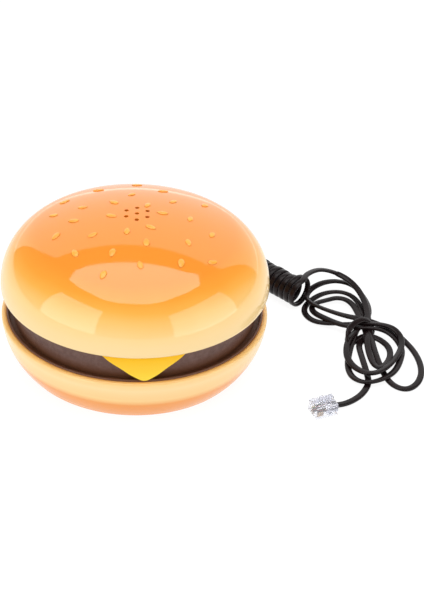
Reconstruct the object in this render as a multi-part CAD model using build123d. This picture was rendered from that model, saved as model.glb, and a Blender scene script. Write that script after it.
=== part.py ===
from build123d import *
import math
import os

# Hamburger-shaped telephone, millimetres. +Z is up, the table is z = 0, the burger's axis is the
# Z axis, the cheese's hanging corner points along -Y and the lid's hinge is at the back, +Y.

# Driving dimensions
HEIGHT = 84.0                # table to the crown of the lid
LID_R = 70.0                 # largest radius of the top bun
LID_Z = 43.1                 # bottom edge of the top bun
BUN_R = 70.2                 # largest radius of the bottom bun, at its rim
RIM_Z = 28.4                 # top of the bottom bun's rim
PATTY_R = 63.5               # outside of the patty's wall
DECK_Z = 41.8                # top of the patty's deck
WALL = 2.5                   # shell thickness of both buns

# Top bun profile: a lip, a shoulder arc and a crown arc that meet tangentially
LIP_R = 2.0
SHOULDER_R = 31.4
CROWN_R = 135.1
TANGENT_DEG = 68.2
SHOULDER_C = (LID_R - SHOULDER_R, LID_Z + LIP_R)
CROWN_C = (0.0, HEIGHT - CROWN_R)
SOUND_HOLE_R = 1.0
SOUND_RING_R = 6.15
SOUND_TURN_DEG = -5.0

# Bottom bun profile
BASE_Z = 0.8                 # underside of the shell; the rubber feet fill the rest
SIDE_R = 41.6
SIDE_C = (BUN_R - SIDE_R, 28.8)
SIDE_DEG = -40.0
RIM_EDGE_R = 1.8             # the rim's rounding on its outside
FLOOR_T = 2.5
RIM_INNER_R = 66.2
LEDGE_Z = 24.8               # seat for the patty's flange
LEDGE_INNER_R = 63.0

# Patty
FLANGE_R = 66.0
FLANGE_TOP = 27.0
PATTY_WALL = 2.2
PATTY_EDGE_R = 2.5
DECK_T = 2.2

# Cheese slice
CHEESE_T = 1.8
CHEESE_TOP = DECK_Z + CHEESE_T
CHEESE_HALF = 55.0           # half the diagonal of the square
CHEESE_Y = -33.0             # centre of the square
CHEESE_CORNER_R = 5.0
CHEESE_TIP_Z = 27.6
CHEESE_SLOPE = 1.42          # half width gained per millimetre above the hanging corner

# Keys
KEY_W = 11.0
KEY_D = 8.5
KEY_PITCH_X = 15.0
KEY_PITCH_Y = 11.5
KEY_ROW_Y = -11.0            # first dialling row
KEY_TOP = 45.0
KEY_TRAVEL = 0.8
KEY_GAP = 0.3
KEY_FLANGE = 0.8             # how far the flange stands out round the key
FUNCTION_X = 8.0
FUNCTION_Y = 0.5
MIC_Y = -55.5                # the microphone sits below the last row
DIAL_KEYS = (("1", "2", "3"), ("4", "5", "6"), ("7", "8", "9"), ("star", "0", "hash"))

# Board stack, under the deck
BOARD_W = 58.0
BOARD_L = 66.5
BOARD_Y = -17.25
BOARD_TOP = 33.4
BOARD_T = 1.6
MEMBRANE_T = 1.0
DOME_TOP = 36.0
BOARD_SCREW_X = 25.5
BOARD_SCREW_Y = (-46.5, 12.5)

# Hinge
HINGE_Y = 68.0
HINGE_Z = 38.0
KNUCKLE_R = 4.0
PIN_R = 1.5
PIN_FIT = 0.05
LID_KNUCKLE = 9.5            # half length of the lid's knuckle
BASE_KNUCKLE = (10.0, 18.0)  # from and to, on each side

# Lid inside
EAR_Z = 45.6                 # underside of the ear cover
EAR_T = 2.4
EAR_R = 67.2
EAR_RIM_Z = 50.0             # top of the rim that centres the earpiece
EAR_HOLE_Y = -30.0
EAR_HOLE_R = 1.1
EARPIECE_R = 14.0
GASKET_T = 1.0
LID_SCREW = 37.0             # x and y of the four lid screws
LID_BOSS_R = 4.0
RINGER_R = 13.6
RINGER_Z = 75.3              # underside of the ringer's disc
CLAMP_Z = 73.2               # underside of the ring that holds the ringer up
CLAMP_TOP = 74.0
CLAMP_BOSS_R = 2.6
CLAMP_SCREW_AT = 19.0        # radius of the circle its screws stand on
CLAMP_TURNS = (30, 150, 270)

# Hook plunger
PLUNGER = (24.0, 44.0)
PLUNGER_TRAVEL = 2.5
PLUNGER_R = 2.0

# Case screws, feet and sliders
CASE_SCREW = 36.0            # x and y of the four case screws
CASE_BOSS_TOP = 20.0
CASE_SEAT_Z = 14.0           # the screw heads seat here, up their wells
CASE_SCREW_TOP = 29.0
FOOT_RING_R = 48.0
FOOT_R = 5.5
SLIDER_Y = 24.0
SLIDER_X = 22.0
SLIDER_TRAVEL = 4.0
SWITCH_Z = 5.2               # underside of the slide switches

# Self-tapping screws: shank and head
SCREW_R = 1.5
SCREW_HEAD_R = 2.8
SMALL_SCREW_R = 1.1
SMALL_HEAD_R = 2.1
HEAD_T = 1.4

# Line cord: flat two-core cord, modelled at its width
CORD_R = 1.9
COIL_R = 8.1
COIL_END_R = 9.3             # the slack last turn is wider and stands higher
COIL_END_L = 4.5
COIL_GAP = 0.3               # the other turns are held clear of the table by it
GROMMET_Z = 10.0
GROMMET_R = 4.0
GROMMET_END_Y = 80.0
HANK_H = 10.5
CORD_CLEARANCE = 0.3
BEND_SHARE = 0.45            # of the shorter run, for each arc of the cord's path

# Points of the cord's route, chosen by hand: out of the grommet and round to the coil ...
LEAD = [(0, 80, 10), (0.6, 92, 7.6), (5, 103.5, 3.2), (16, 111.5, 1.9), (29.5, 112.4, 1.9),
        (39, 109.8, 3.2), (46.2, 103.2, 5.4), (51, 95.8, 8.4)]
# ... from the coil's last ring over to the hank ...
LINK = [(97.2, 39.8, 17.2), (101.6, 45.2, 16.6), (107, 50.9, 15.6), (112.6, 54.8, 13.8),
        (118.6, 55.8, 11.4), (123.4, 53.2, 9.2), (126, 48.4, 7.3)]
# ... and from the hank to the plug
TAIL = [(121.6, -41, 1.9), (118.5, -47.5, 1.9), (112, -53.5, 1.9), (104.8, -56.6, 2.6), (98.2, -58.6, 2.6)]
# The coil's axis, seen from above
COIL_START = (51, 95.8)
COIL_END = (98.35, 37.64)

# Plug, lying on its underside with the latch up
PLUG_W = 9.65
PLUG_H = 6.6
PLUG_L = 12.3
CONTACT_PITCH = 1.02
LATCH_W = 3.2
LATCH_T = 0.9
LATCH_DEG = -12
WIRE_R = 0.8

SEEDS = [(3, 44), (-18, 37), (-1, 24), (16, 32), (-36, 27), (-27, 13), (-11, 14), (6, 9), (20, 16),
         (37, 19), (-42, 12), (-13, -1), (13, 1), (27, -2), (-32, 0), (6, -13), (-6, -16), (-41, -10),
         (-23, -16), (37, -13), (3, -25), (24, -23), (-32, -27), (-14, -31), (-1, -40), (19, -38),
         (35, -34), (-19, -44)]
SEED_TURNS = (20, 75, -30, 5, 50, -60, 90, -15, 35, -80)

os.makedirs("parts", exist_ok=True)
nodes = {}


def keep(name, shape):
    nodes[name] = shape


def keep_set(name, solids):
    """Several loose solids of one kind, kept as one part."""
    keep(name, Compound(children=[s.solid() for s in solids]))


def on_circle(radius, degrees):
    angle = math.radians(degrees)
    return (radius * math.cos(angle), radius * math.sin(angle))


def arc_point(centre, radius, degrees):
    x, y = on_circle(radius, degrees)
    return (centre[0] + x, centre[1] + y)


def turned(outline):
    """A solid of revolution about Z from a closed outline drawn in the (radius, z) plane."""
    with BuildPart() as part:
        with BuildSketch(Plane.XZ):
            with BuildLine():
                for edge in outline():
                    add(edge)
            make_face()
        revolve(axis=Axis.Z)
    return part.part


def post(x, y, radius, low, high):
    return Pos(x, y, (low + high) / 2) * Cylinder(radius, high - low)


def block(x, y, low, high, size_x, size_y, corner=0.0):
    box = Pos(x, y, (low + high) / 2) * Box(size_x, size_y, high - low)
    if corner:
        box = fillet(box.edges().filter_by(Axis.Z), corner)
    return box


def ring(inner, outer, low, high):
    return post(0, 0, outer, low, high) - post(0, 0, inner, low - 1, high + 1)


def hinge_rod(x, radius, length):
    return Pos(x, HINGE_Y, HINGE_Z) * Rot(0, 90, 0) * Cylinder(radius, length)


def corners(distance):
    return [(sx * distance, sy * distance) for sx in (-1, 1) for sy in (-1, 1)]


# ---------------------------------------------------------------- top bun
def dome_edges(offset):
    """Shoulder and crown arcs of the lid, moved inwards by an offset."""
    start = arc_point(SHOULDER_C, SHOULDER_R - offset, 0)
    middle = arc_point(SHOULDER_C, SHOULDER_R - offset, TANGENT_DEG / 2)
    join = arc_point(SHOULDER_C, SHOULDER_R - offset, TANGENT_DEG)
    crown = arc_point(CROWN_C, CROWN_R - offset, (TANGENT_DEG + 90) / 2 + 5)
    top = arc_point(CROWN_C, CROWN_R - offset, 90)
    return start, top, [ThreePointArc(start, middle, join), ThreePointArc(join, crown, top)]


def lid_outline():
    start, top, outer = dome_edges(0)
    inner_start, inner_top, inner = dome_edges(WALL)
    lip = (LID_R - LIP_R * 0.3, LID_Z + LIP_R * 0.3)
    foot = (LID_R - LIP_R, LID_Z)
    inner_foot = (LID_R - WALL, LID_Z)
    return outer + inner + [ThreePointArc(foot, lip, start), Line(top, inner_top),
                            Line(inner_start, inner_foot), Line(inner_foot, foot)]


def filled_dome(offset):
    """The lid's outer form as one solid, down to its bottom edge."""
    def outline():
        start, top, arcs = dome_edges(offset)
        low = (start[0], LID_Z)
        return arcs + [Line(top, (0, LID_Z)), Line((0, LID_Z), low), Line(low, start)]
    return turned(outline)


def clamp_places():
    return [on_circle(CLAMP_SCREW_AT, turn) for turn in CLAMP_TURNS]


def sound_holes():
    places = [(0, 0)] + [on_circle(SOUND_RING_R, 90 + SOUND_TURN_DEG + 60 * i) for i in range(6)]
    return [post(x, y, SOUND_HOLE_R, HEIGHT - 6, HEIGHT + 2) for x, y in places]


def make_top_bun():
    bun = turned(lid_outline)
    dome = filled_dome(WALL / 2)
    bosses = [ring(RINGER_R + 0.2, RINGER_R + 1.7, CLAMP_TOP + 2, HEIGHT)]
    for x, y in corners(LID_SCREW):
        bosses.append(post(x, y, LID_BOSS_R, EAR_Z + EAR_T, HEIGHT) - post(x, y, SCREW_R, EAR_Z, 60))
    for x, y in clamp_places():
        pilot = post(x, y, SMALL_SCREW_R, CLAMP_TOP - 1, CLAMP_TOP + 5)
        bosses.append(post(x, y, CLAMP_BOSS_R, CLAMP_TOP, HEIGHT) - pilot)
    for boss in bosses:
        bun += boss & dome
    for hole in sound_holes():
        bun -= hole
    keep("top_bun", bun)


def crown_height(x, y):
    return CROWN_C[1] + math.sqrt(CROWN_R ** 2 - x * x - y * y)


def make_seeds():
    """Flat teardrop seeds that sit on the crown, each cut to the dome's surface."""
    dome = filled_dome(0)
    seed = scale(Sphere(1.0), by=(3.3, 1.9, 1.15))
    seeds = []
    for i, (x, y) in enumerate(SEEDS):
        tilt = math.degrees(math.asin(math.hypot(x, y) / CROWN_R))
        heading = math.degrees(math.atan2(y, x))
        turn = SEED_TURNS[i % len(SEED_TURNS)] - heading
        place = Pos(x, y, crown_height(x, y)) * Rot(0, 0, heading) * Rot(0, tilt, 0) * Rot(0, 0, turn)
        seeds.append((place * seed) - dome)
    keep_set("sesame_seeds", seeds)


# ---------------------------------------------------------------- lid inside
def make_ear_cover():
    floor = EAR_Z + EAR_T
    cover = post(0, 0, EAR_R, EAR_Z, floor)
    cover += post(0, EAR_HOLE_Y, EARPIECE_R + 2.5, EAR_Z, EAR_RIM_Z)
    cover -= post(0, EAR_HOLE_Y, EARPIECE_R + 1.2, floor, EAR_RIM_Z + 1)
    arm = block(0, 65.4, HINGE_Z, floor, 2 * LID_KNUCKLE, 2.4)
    cover += arm + hinge_rod(0, KNUCKLE_R, 2 * LID_KNUCKLE)
    cover -= hinge_rod(0, PIN_R + PIN_FIT, 3 * LID_KNUCKLE)
    for x, y in corners(LID_SCREW):
        cover -= post(x, y, SCREW_R, EAR_Z - 1, floor + 1)
        cover -= post(x, y, SCREW_HEAD_R + KEY_GAP, EAR_Z - 1, EAR_Z + HEAD_T)
    holes = [(0, 0)] + [on_circle(5.0, 60 * i) for i in range(6)]
    for x, y in holes:
        cover -= post(x, EAR_HOLE_Y + y, EAR_HOLE_R, EAR_Z - 1, floor + 1)
    keep("ear_cover", cover)


def make_earpiece():
    floor = EAR_Z + EAR_T
    y = EAR_HOLE_Y
    gasket = post(0, y, EARPIECE_R + 1, floor, floor + GASKET_T)
    gasket -= post(0, y, EARPIECE_R - 3, floor - 1, floor + GASKET_T + 1)
    keep("earpiece_gasket", gasket)
    magnet = post(0, y, 9.0, floor + 3.5, floor + 7)
    keep("earpiece", post(0, y, EARPIECE_R, floor + GASKET_T, floor + 3.5) + magnet)


def make_ringer():
    keep("ringer", post(0, 0, RINGER_R, RINGER_Z, RINGER_Z + 4.5) + post(0, 0, 8.0, RINGER_Z - 2.9, RINGER_Z))
    clamp = post(0, 0, 16.0, CLAMP_Z, CLAMP_TOP) - post(0, 0, 9.0, CLAMP_Z - 1, CLAMP_TOP + 1)
    clamp += ring(11.5, 13.0, CLAMP_TOP, RINGER_Z)
    screws = []
    for turn in CLAMP_TURNS:
        clamp += Rot(0, 0, turn) * block(16.5, 0, CLAMP_Z, CLAMP_TOP, 5, 4)
    for x, y in clamp_places():
        clamp += post(x, y, CLAMP_BOSS_R, CLAMP_Z, CLAMP_TOP)
    for x, y in clamp_places():
        clamp -= post(x, y, SMALL_SCREW_R, CLAMP_Z - 1, CLAMP_TOP + 1)
        head = post(x, y, SMALL_HEAD_R, CLAMP_Z - 1.2, CLAMP_Z)
        screws.append(head + post(x, y, SMALL_SCREW_R, CLAMP_Z, CLAMP_TOP + 4.5))
    keep("ringer_retainer", clamp)
    keep_set("ringer_screws", screws)


def make_lid_screws():
    screws = []
    for x, y in corners(LID_SCREW):
        head = post(x, y, SCREW_HEAD_R, EAR_Z + 0.1, EAR_Z + HEAD_T)
        screws.append(head + post(x, y, SCREW_R, EAR_Z + HEAD_T, 58))
    keep_set("lid_screws", screws)


# ---------------------------------------------------------------- base shells
def bottom_outline():
    foot_centre = (56.2, BASE_Z + 4.0)
    side_low = arc_point(SIDE_C, SIDE_R, SIDE_DEG)
    side_mid = arc_point(SIDE_C, SIDE_R, SIDE_DEG / 2)
    rim_out = (BUN_R, RIM_Z - RIM_EDGE_R)
    rim_mid = (BUN_R - 0.29 * RIM_EDGE_R, RIM_Z - 0.29 * RIM_EDGE_R)
    rim_top = (BUN_R - RIM_EDGE_R, RIM_Z)
    rim_in = (RIM_INNER_R + 0.75, RIM_Z - 0.5)
    rim_low = (RIM_INNER_R, RIM_Z - 1.5)
    ledge_out = (RIM_INNER_R, LEDGE_Z)
    ledge_in = (LEDGE_INNER_R, LEDGE_Z)
    under_ledge = (LEDGE_INNER_R, LEDGE_Z - 2.5)
    wall_top = (LEDGE_INNER_R + 2.6, LEDGE_Z - 6.0)
    wall_low = (54.5, BASE_Z + FLOOR_T)
    foot_in = (foot_centre[0], BASE_Z)
    return [Line((0, BASE_Z), foot_in),
            ThreePointArc(foot_in, arc_point(foot_centre, 4.0, -62), side_low),
            ThreePointArc(side_low, side_mid, rim_out),
            ThreePointArc(rim_out, rim_mid, rim_top),
            ThreePointArc(rim_top, rim_in, rim_low),
            Line(rim_low, ledge_out), Line(ledge_out, ledge_in), Line(ledge_in, under_ledge),
            Line(under_ledge, wall_top),
            ThreePointArc(wall_top, (61.6, 9.6), wall_low),
            Line(wall_low, (0, BASE_Z + FLOOR_T)), Line((0, BASE_Z + FLOOR_T), (0, BASE_Z))]


def feet_places():
    return [on_circle(FOOT_RING_R, 90 * i) for i in range(4)]


def slider_places():
    return [("ringer", -SLIDER_X), ("tone", SLIDER_X)]


def make_bottom_bun():
    bun = turned(bottom_outline)
    floor = BASE_Z + FLOOR_T
    for x, y in corners(CASE_SCREW):
        bun += post(x, y, 5.0, floor - 0.5, CASE_BOSS_TOP)
        bun -= post(x, y, 3.5, BASE_Z - 1, CASE_SEAT_Z)
        bun -= post(x, y, SCREW_R + 0.2, CASE_SEAT_Z - 1, CASE_BOSS_TOP + 1)
    for x, y in feet_places():
        bun -= post(x, y, FOOT_R, BASE_Z - 1, BASE_Z + 1.0)
    for _, x in slider_places():
        bun -= block(x, SLIDER_Y, BASE_Z - 1, floor + 1, 9.0, 4.2)
        for side in (-1, 1):
            bun += post(x + side * 9.6, SLIDER_Y, 1.8, floor - 0.5, SWITCH_Z)
    bun -= Pos(0, 62, GROMMET_Z) * Rot(90, 0, 0) * Cylinder(GROMMET_R, 30)
    keep("bottom_bun", bun)


def patty_outline():
    inner = PATTY_R - PATTY_WALL
    edge = (PATTY_R - PATTY_EDGE_R * 0.293, DECK_Z - PATTY_EDGE_R * 0.293)
    return [Line((0, DECK_Z), (PATTY_R - PATTY_EDGE_R, DECK_Z)),
            ThreePointArc((PATTY_R - PATTY_EDGE_R, DECK_Z), edge, (PATTY_R, DECK_Z - PATTY_EDGE_R)),
            Line((PATTY_R, DECK_Z - PATTY_EDGE_R), (PATTY_R, FLANGE_TOP)),
            Line((PATTY_R, FLANGE_TOP), (FLANGE_R, FLANGE_TOP)),
            Line((FLANGE_R, FLANGE_TOP), (FLANGE_R, LEDGE_Z)),
            Line((FLANGE_R, LEDGE_Z), (inner, LEDGE_Z)),
            Line((inner, LEDGE_Z), (inner, DECK_Z - DECK_T)),
            Line((inner, DECK_Z - DECK_T), (0, DECK_Z - DECK_T)),
            Line((0, DECK_Z - DECK_T), (0, DECK_Z))]


def key_places():
    """Name and centre of every key."""
    places = []
    for row, names in enumerate(DIAL_KEYS):
        for column, name in enumerate(names):
            places.append((name, (column - 1) * KEY_PITCH_X, KEY_ROW_Y - row * KEY_PITCH_Y))
    places.append(("redial", -FUNCTION_X, FUNCTION_Y))
    places.append(("flash", FUNCTION_X, FUNCTION_Y))
    return places


def key_holes():
    wide, deep = KEY_W + 2 * KEY_GAP, KEY_D + 2 * KEY_GAP
    return [block(x, y, DECK_Z - 4, CHEESE_TOP + 1, wide, deep, 2.2) for _, x, y in key_places()]


def mic_holes():
    return [post(x, MIC_Y, 0.7, DECK_Z - 4, CHEESE_TOP + 1) for x in (-2.2, 0, 2.2)]


def hinge_lug(side):
    low, high = BASE_KNUCKLE
    x = side * (low + high) / 2
    lug = hinge_rod(x, KNUCKLE_R, high - low)
    lug += block(x, 64.5, HINGE_Z - KNUCKLE_R, HINGE_Z + 2.4, high - low, 7.0)
    return lug


def make_patty():
    patty = turned(patty_outline)
    inside = post(0, 0, PATTY_R - 1, 0, DECK_Z)
    under = DECK_Z - DECK_T
    for side in (-1, 1):
        patty += hinge_lug(side) - inside
        for y in BOARD_SCREW_Y:
            patty += post(side * BOARD_SCREW_X, y, 2.6, BOARD_TOP, under + 0.5)
            patty -= post(side * BOARD_SCREW_X, y, SMALL_SCREW_R, BOARD_TOP - 1, under - 1)
    patty -= hinge_rod(0, PIN_R, 60)
    for x, y in corners(CASE_SCREW):
        patty += post(x, y, 4.0, CASE_BOSS_TOP, under + 0.5)
        patty -= post(x, y, SCREW_R, CASE_BOSS_TOP - 1, CASE_SCREW_TOP + 1)
    x, y = PLUNGER
    patty -= post(x, y, PLUNGER_R + 0.3, under - 1, DECK_Z + 1)
    for side in (-1, 1):
        patty += block(x + side * 8.2, y, 27.5, under + 0.5, 3.0, 6.0)
    for hole in key_holes() + mic_holes():
        patty -= hole
    keep("patty", patty)


def make_hinge_pin():
    reach = BASE_KNUCKLE[1] + 1.0
    pin = hinge_rod(0, PIN_R, 2 * reach)
    for side in (-1, 1):
        pin += hinge_rod(side * (reach + 0.4), 2.4, 0.8)
    keep("hinge_pin", pin)


# ---------------------------------------------------------------- cheese
def cheese_outline():
    """Section of the sheet: flat over the deck, round the patty's edge, down its wall and out."""
    r = PATTY_R
    bend = PATTY_EDGE_R
    top = DECK_Z
    outer = CHEESE_T
    low = CHEESE_TIP_Z
    kick = 2.2
    return [Line((0, top), (r - bend, top)),
            ThreePointArc((r - bend, top), (r - bend * 0.293, top - bend * 0.293), (r, top - bend)),
            Line((r, top - bend), (r, low + 4)),
            Line((r, low + 4), (r + kick * 0.3, low)),
            Line((r + kick * 0.3, low), (r + kick, low)),
            Line((r + kick, low), (r + outer, low + 5)),
            Line((r + outer, low + 5), (r + outer, top - bend)),
            ThreePointArc((r + outer, top - bend), (r + outer - (bend + outer) * 0.293,
                          top + outer - (bend + outer) * 0.293), (r - bend, top + outer)),
            Line((r - bend, top + outer), (0, top + outer)), Line((0, top + outer), (0, top))]


def make_cheese():
    sheet = turned(cheese_outline)
    side = CHEESE_HALF * math.sqrt(2)
    square = block(0, 0, DECK_Z - 0.01, CHEESE_TOP + 1, side, side, CHEESE_CORNER_R)
    flat = sheet & (Pos(0, CHEESE_Y, 0) * Rot(0, 0, 45) * square) & post(0, 0, 62.0, 0, 60)
    flat &= block(0, 0, DECK_Z - 0.01, 60, 200, 200)
    reach = CHEESE_TOP - CHEESE_TIP_Z
    wide = CHEESE_SLOPE * reach + 1.2
    with BuildPart() as wedge:
        with BuildSketch(Plane.XZ.offset(PATTY_R - 4)):
            with BuildLine():
                Polyline((-wide, CHEESE_TOP), (-1.2, CHEESE_TIP_Z), (1.2, CHEESE_TIP_Z), (wide, CHEESE_TOP),
                         (wide - 3, CHEESE_TOP + 1), (3 - wide, CHEESE_TOP + 1), close=True)
            make_face()
        extrude(amount=12)
    hanging = sheet & wedge.part
    cheese = flat + hanging
    for hole in key_holes() + mic_holes():
        cheese -= hole
    keep("cheese_slice", cheese)


# ---------------------------------------------------------------- keypad and board
def make_keys():
    under = DECK_Z - DECK_T
    for name, x, y in key_places():
        cap = block(x, y, under - KEY_GAP, KEY_TOP, KEY_W, KEY_D, 1.9)
        cap = fillet(cap.faces().sort_by(Axis.Z)[-1].edges(), 0.6)
        wide, deep = KEY_W + 2 * KEY_FLANGE, KEY_D + 2 * KEY_FLANGE
        flange = block(x, y, under - 1.5, under - KEY_GAP, wide, deep, 1.0)
        foot = post(x, y, 2.4, under - 2.5, under - 1.5)
        keep("key_" + name, cap + flange + foot)


def make_board():
    membrane = block(0, -21, BOARD_TOP, BOARD_TOP + MEMBRANE_T, 44.0, 54.0)
    dome = Cone(4.0, 2.6, DOME_TOP - BOARD_TOP - MEMBRANE_T)
    for _, x, y in key_places():
        membrane += Pos(x, y, (BOARD_TOP + MEMBRANE_T + DOME_TOP) / 2) * dome
    keep("key_membrane", membrane)
    board = block(0, BOARD_Y, BOARD_TOP - BOARD_T, BOARD_TOP, BOARD_W, BOARD_L)
    screws = []
    for side in (-1, 1):
        for y in BOARD_SCREW_Y:
            x = side * BOARD_SCREW_X
            board -= post(x, y, 1.3, BOARD_TOP - 3, BOARD_TOP + 1)
            low = BOARD_TOP - BOARD_T
            head = post(x, y, SMALL_HEAD_R, low - 1.2, low)
            screws.append(head + post(x, y, SMALL_SCREW_R, low, low + 6))
    keep("main_board", board)
    keep_set("board_screws", screws)


def make_microphone():
    y = MIC_Y
    under = DECK_Z - DECK_T
    boot = post(0, y, 4.4, under - 5.2, under) - post(0, y, 3.0, under - 6, under - 1.0)
    boot -= post(0, y, 2.2, under - 2, under + 1)
    keep("mic_boot", boot)
    keep("microphone", post(0, y, 3.0, under - 4.6, under - 1.0))


def make_hook():
    x, y = PLUNGER
    under = DECK_Z - DECK_T
    low = 34.5
    stem = post(x, y, PLUNGER_R, low, EAR_Z - KEY_GAP)
    stem += post(x, y, 3.2, low, low + 1.4)
    stem = fillet(stem.faces().sort_by(Axis.Z)[-1].edges(), 1.0)
    keep("hook_plunger", stem)
    switch = block(x, y, 28.0, 34.0, 13.2, 5.8)
    switch += block(x - 1.0, y, 34.0, 34.2, 8.0, 3.6)
    keep("hook_switch", switch)


def make_bumpers():
    pads = []
    for x in (-48, 48):
        pad = post(x, 22, 3.0, DECK_Z, EAR_Z - KEY_GAP)
        pads.append(fillet(pad.faces().sort_by(Axis.Z)[-1].edges(), 1.0))
    keep_set("lid_bumpers", pads)


# ---------------------------------------------------------------- underside
def make_underside():
    feet = []
    for x, y in feet_places():
        foot = post(x, y, FOOT_R, 0, BASE_Z + 1.0)
        feet.append(fillet(foot.faces().sort_by(Axis.Z)[0].edges(), 0.5))
    keep_set("rubber_feet", feet)
    screws = []
    for x, y in corners(CASE_SCREW):
        head = post(x, y, 3.0, CASE_SEAT_Z - 2.4, CASE_SEAT_Z)
        screws.append(head + post(x, y, SCREW_R, CASE_SEAT_Z, CASE_SCREW_TOP))
    keep_set("case_screws", screws)
    for name, x in slider_places():
        knob = block(x - SLIDER_TRAVEL / 2, SLIDER_Y, 1.2, 3.6, 4.4, 3.6, 0.5)
        knob += block(x - SLIDER_TRAVEL / 2, SLIDER_Y, 3.6, 4.8, 10.0, 7.0)
        keep(name + "_knob", knob)
        switch = block(x, SLIDER_Y, SWITCH_Z, SWITCH_Z + 3.8, 24.0, 7.5)
        keep(name + "_switch", switch)


def grommet_circle(y, radius):
    return Plane.XZ.offset(-y) * Pos(0, GROMMET_Z) * Circle(radius)


def make_grommet():
    """Strain relief: a flange inside the wall, a neck through it and a taper outside."""
    neck = extrude(grommet_circle(54, GROMMET_R), -14)
    flange = extrude(grommet_circle(54, GROMMET_R + 1.2), -1.8)
    taper = loft([grommet_circle(68, GROMMET_R), grommet_circle(GROMMET_END_Y, 2.9)])
    core = extrude(grommet_circle(50, CORD_R), -(GROMMET_END_Y - 49))
    keep("cord_grommet", neck + flange + taper - core)


# ---------------------------------------------------------------- cords and wires
def bend_radii(points):
    """Largest arc at each corner that leaves both neighbours their share of the run."""
    radii = []
    for before, here, after in zip(points, points[1:], points[2:]):
        inward = Vector(*here) - Vector(*before)
        outward = Vector(*after) - Vector(*here)
        half_turn = math.radians(inward.get_angle(outward)) / 2
        radii.append(BEND_SHARE * min(inward.length, outward.length) / math.tan(half_turn))
    return radii


def tube(name, points, radius):
    radii = bend_radii(points)
    path = FilletPolyline(*points, radius=radii)
    start = Plane(origin=path @ 0, z_dir=path % 0)
    solid = sweep(start * Circle(radius), path=path)
    expected = math.pi * radius ** 2 * path.length
    print(name, "length", round(path.length, 1), "radii", [round(r, 1) for r in radii],
          "volume ratio", round(solid.volume / expected, 4))
    return solid


def coil_length():
    return math.dist(COIL_START, COIL_END)


def along_coil(radius, height, start, end):
    """A cylinder along the coil's axis, between two distances from the coil's first end."""
    axis = (Vector(*COIL_END) - Vector(*COIL_START)).normalized()
    origin = Vector(*COIL_START) + axis * start + Vector(0, 0, height)
    return Plane(origin=origin, z_dir=axis) * Pos(0, 0, (end - start) / 2) * Cylinder(radius, end - start)


def make_coil(extra=0.0):
    """Outer form of the coil, with a wider last turn that stands on the table."""
    end = coil_length() + extra
    turns = along_coil(COIL_R + extra, COIL_R + COIL_GAP, 0, end)
    return turns + along_coil(COIL_END_R + extra, COIL_END_R, coil_length() - COIL_END_L - extra, end)


def make_cord():
    keep("cord_lead", tube("cord_lead", LEAD, CORD_R))
    keep("cord_coil", make_coil())
    keep("cord_hank", make_hank() - make_coil(CORD_CLEARANCE))
    keep("cord_link", tube("cord_link", LINK, CORD_R))
    keep("cord_tail", tube("cord_tail", TAIL, CORD_R))


def make_hank():
    """Outer form of the tied bundle: two lobes and the waist between them."""
    upper = Pos(119.5, 33.5, 0) * Rot(0, 0, -12) * extrude(Ellipse(20.5, 24.5), HANK_H)
    lower = Pos(134, -19, 0) * Rot(0, 0, 8) * extrude(Ellipse(20.5, 28.5), HANK_H)
    waist = Pos(127, 9, HANK_H / 2) * Box(20, 16, HANK_H)
    return upper + lower + waist


def make_plug():
    (before_x, before_y, _), (x, y, _) = TAIL[-2:]
    heading = math.degrees(math.atan2(before_y - y, before_x - x))
    place = Pos(x, y, 0) * Rot(0, 0, heading)
    body = Pos(-PLUG_L / 2, 0, PLUG_H / 2) * Box(PLUG_L, PLUG_W, PLUG_H)
    body = fillet(body.edges().filter_by(Axis.X), 0.5)
    contacts = []
    for offset in [(i - 1.5) * CONTACT_PITCH for i in range(4)]:
        body -= Pos(-PLUG_L + 2.5, offset, 1.5) * Box(5.2, 0.5, 3.2)
        contacts.append(Pos(-PLUG_L + 2.6, offset, 1.7) * Box(4.4, 0.34, 2.6))
    latch = Pos(-PLUG_L + 5.6, 0, PLUG_H + 2.0) * Rot(0, LATCH_DEG, 0) * Box(11.0, LATCH_W, LATCH_T)
    latch_root = Pos(-PLUG_L + 0.9, 0, PLUG_H + 0.6) * Box(1.0, LATCH_W, LATCH_T)
    keep("plug_body", place * body)
    keep_set("plug_contacts", [place * c for c in contacts])
    keep("plug_latch", place * (latch + latch_root))


WIRES = {
    "line_wires": [(0, 58, GROMMET_Z), (0, 50, 12), (-6, 40, 18), (-10, 28, 25), (-10, 16, 30),
                   (-10, 10, 30.9)],
    "lid_wires": [(0, -20, 57), (0, -12, 61), (3, -2, 66), (6, 4, 69.5), (6, 7.4, 71.8)],
}


def make_wires():
    for name, points in WIRES.items():
        keep(name, tube(name, points, WIRE_R))


make_top_bun()
make_seeds()
make_ear_cover()
make_earpiece()
make_ringer()
make_lid_screws()
make_bottom_bun()
make_patty()
make_hinge_pin()
make_cheese()
make_keys()
make_board()
make_microphone()
make_hook()
make_bumpers()
make_underside()
make_grommet()
make_cord()
make_plug()
make_wires()

for node_name, shape in nodes.items():
    export_step(shape, f"parts/{node_name}.step")
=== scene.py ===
import math

import bpy
import numpy as np
from mathutils import Matrix, Quaternion, Vector


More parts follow.
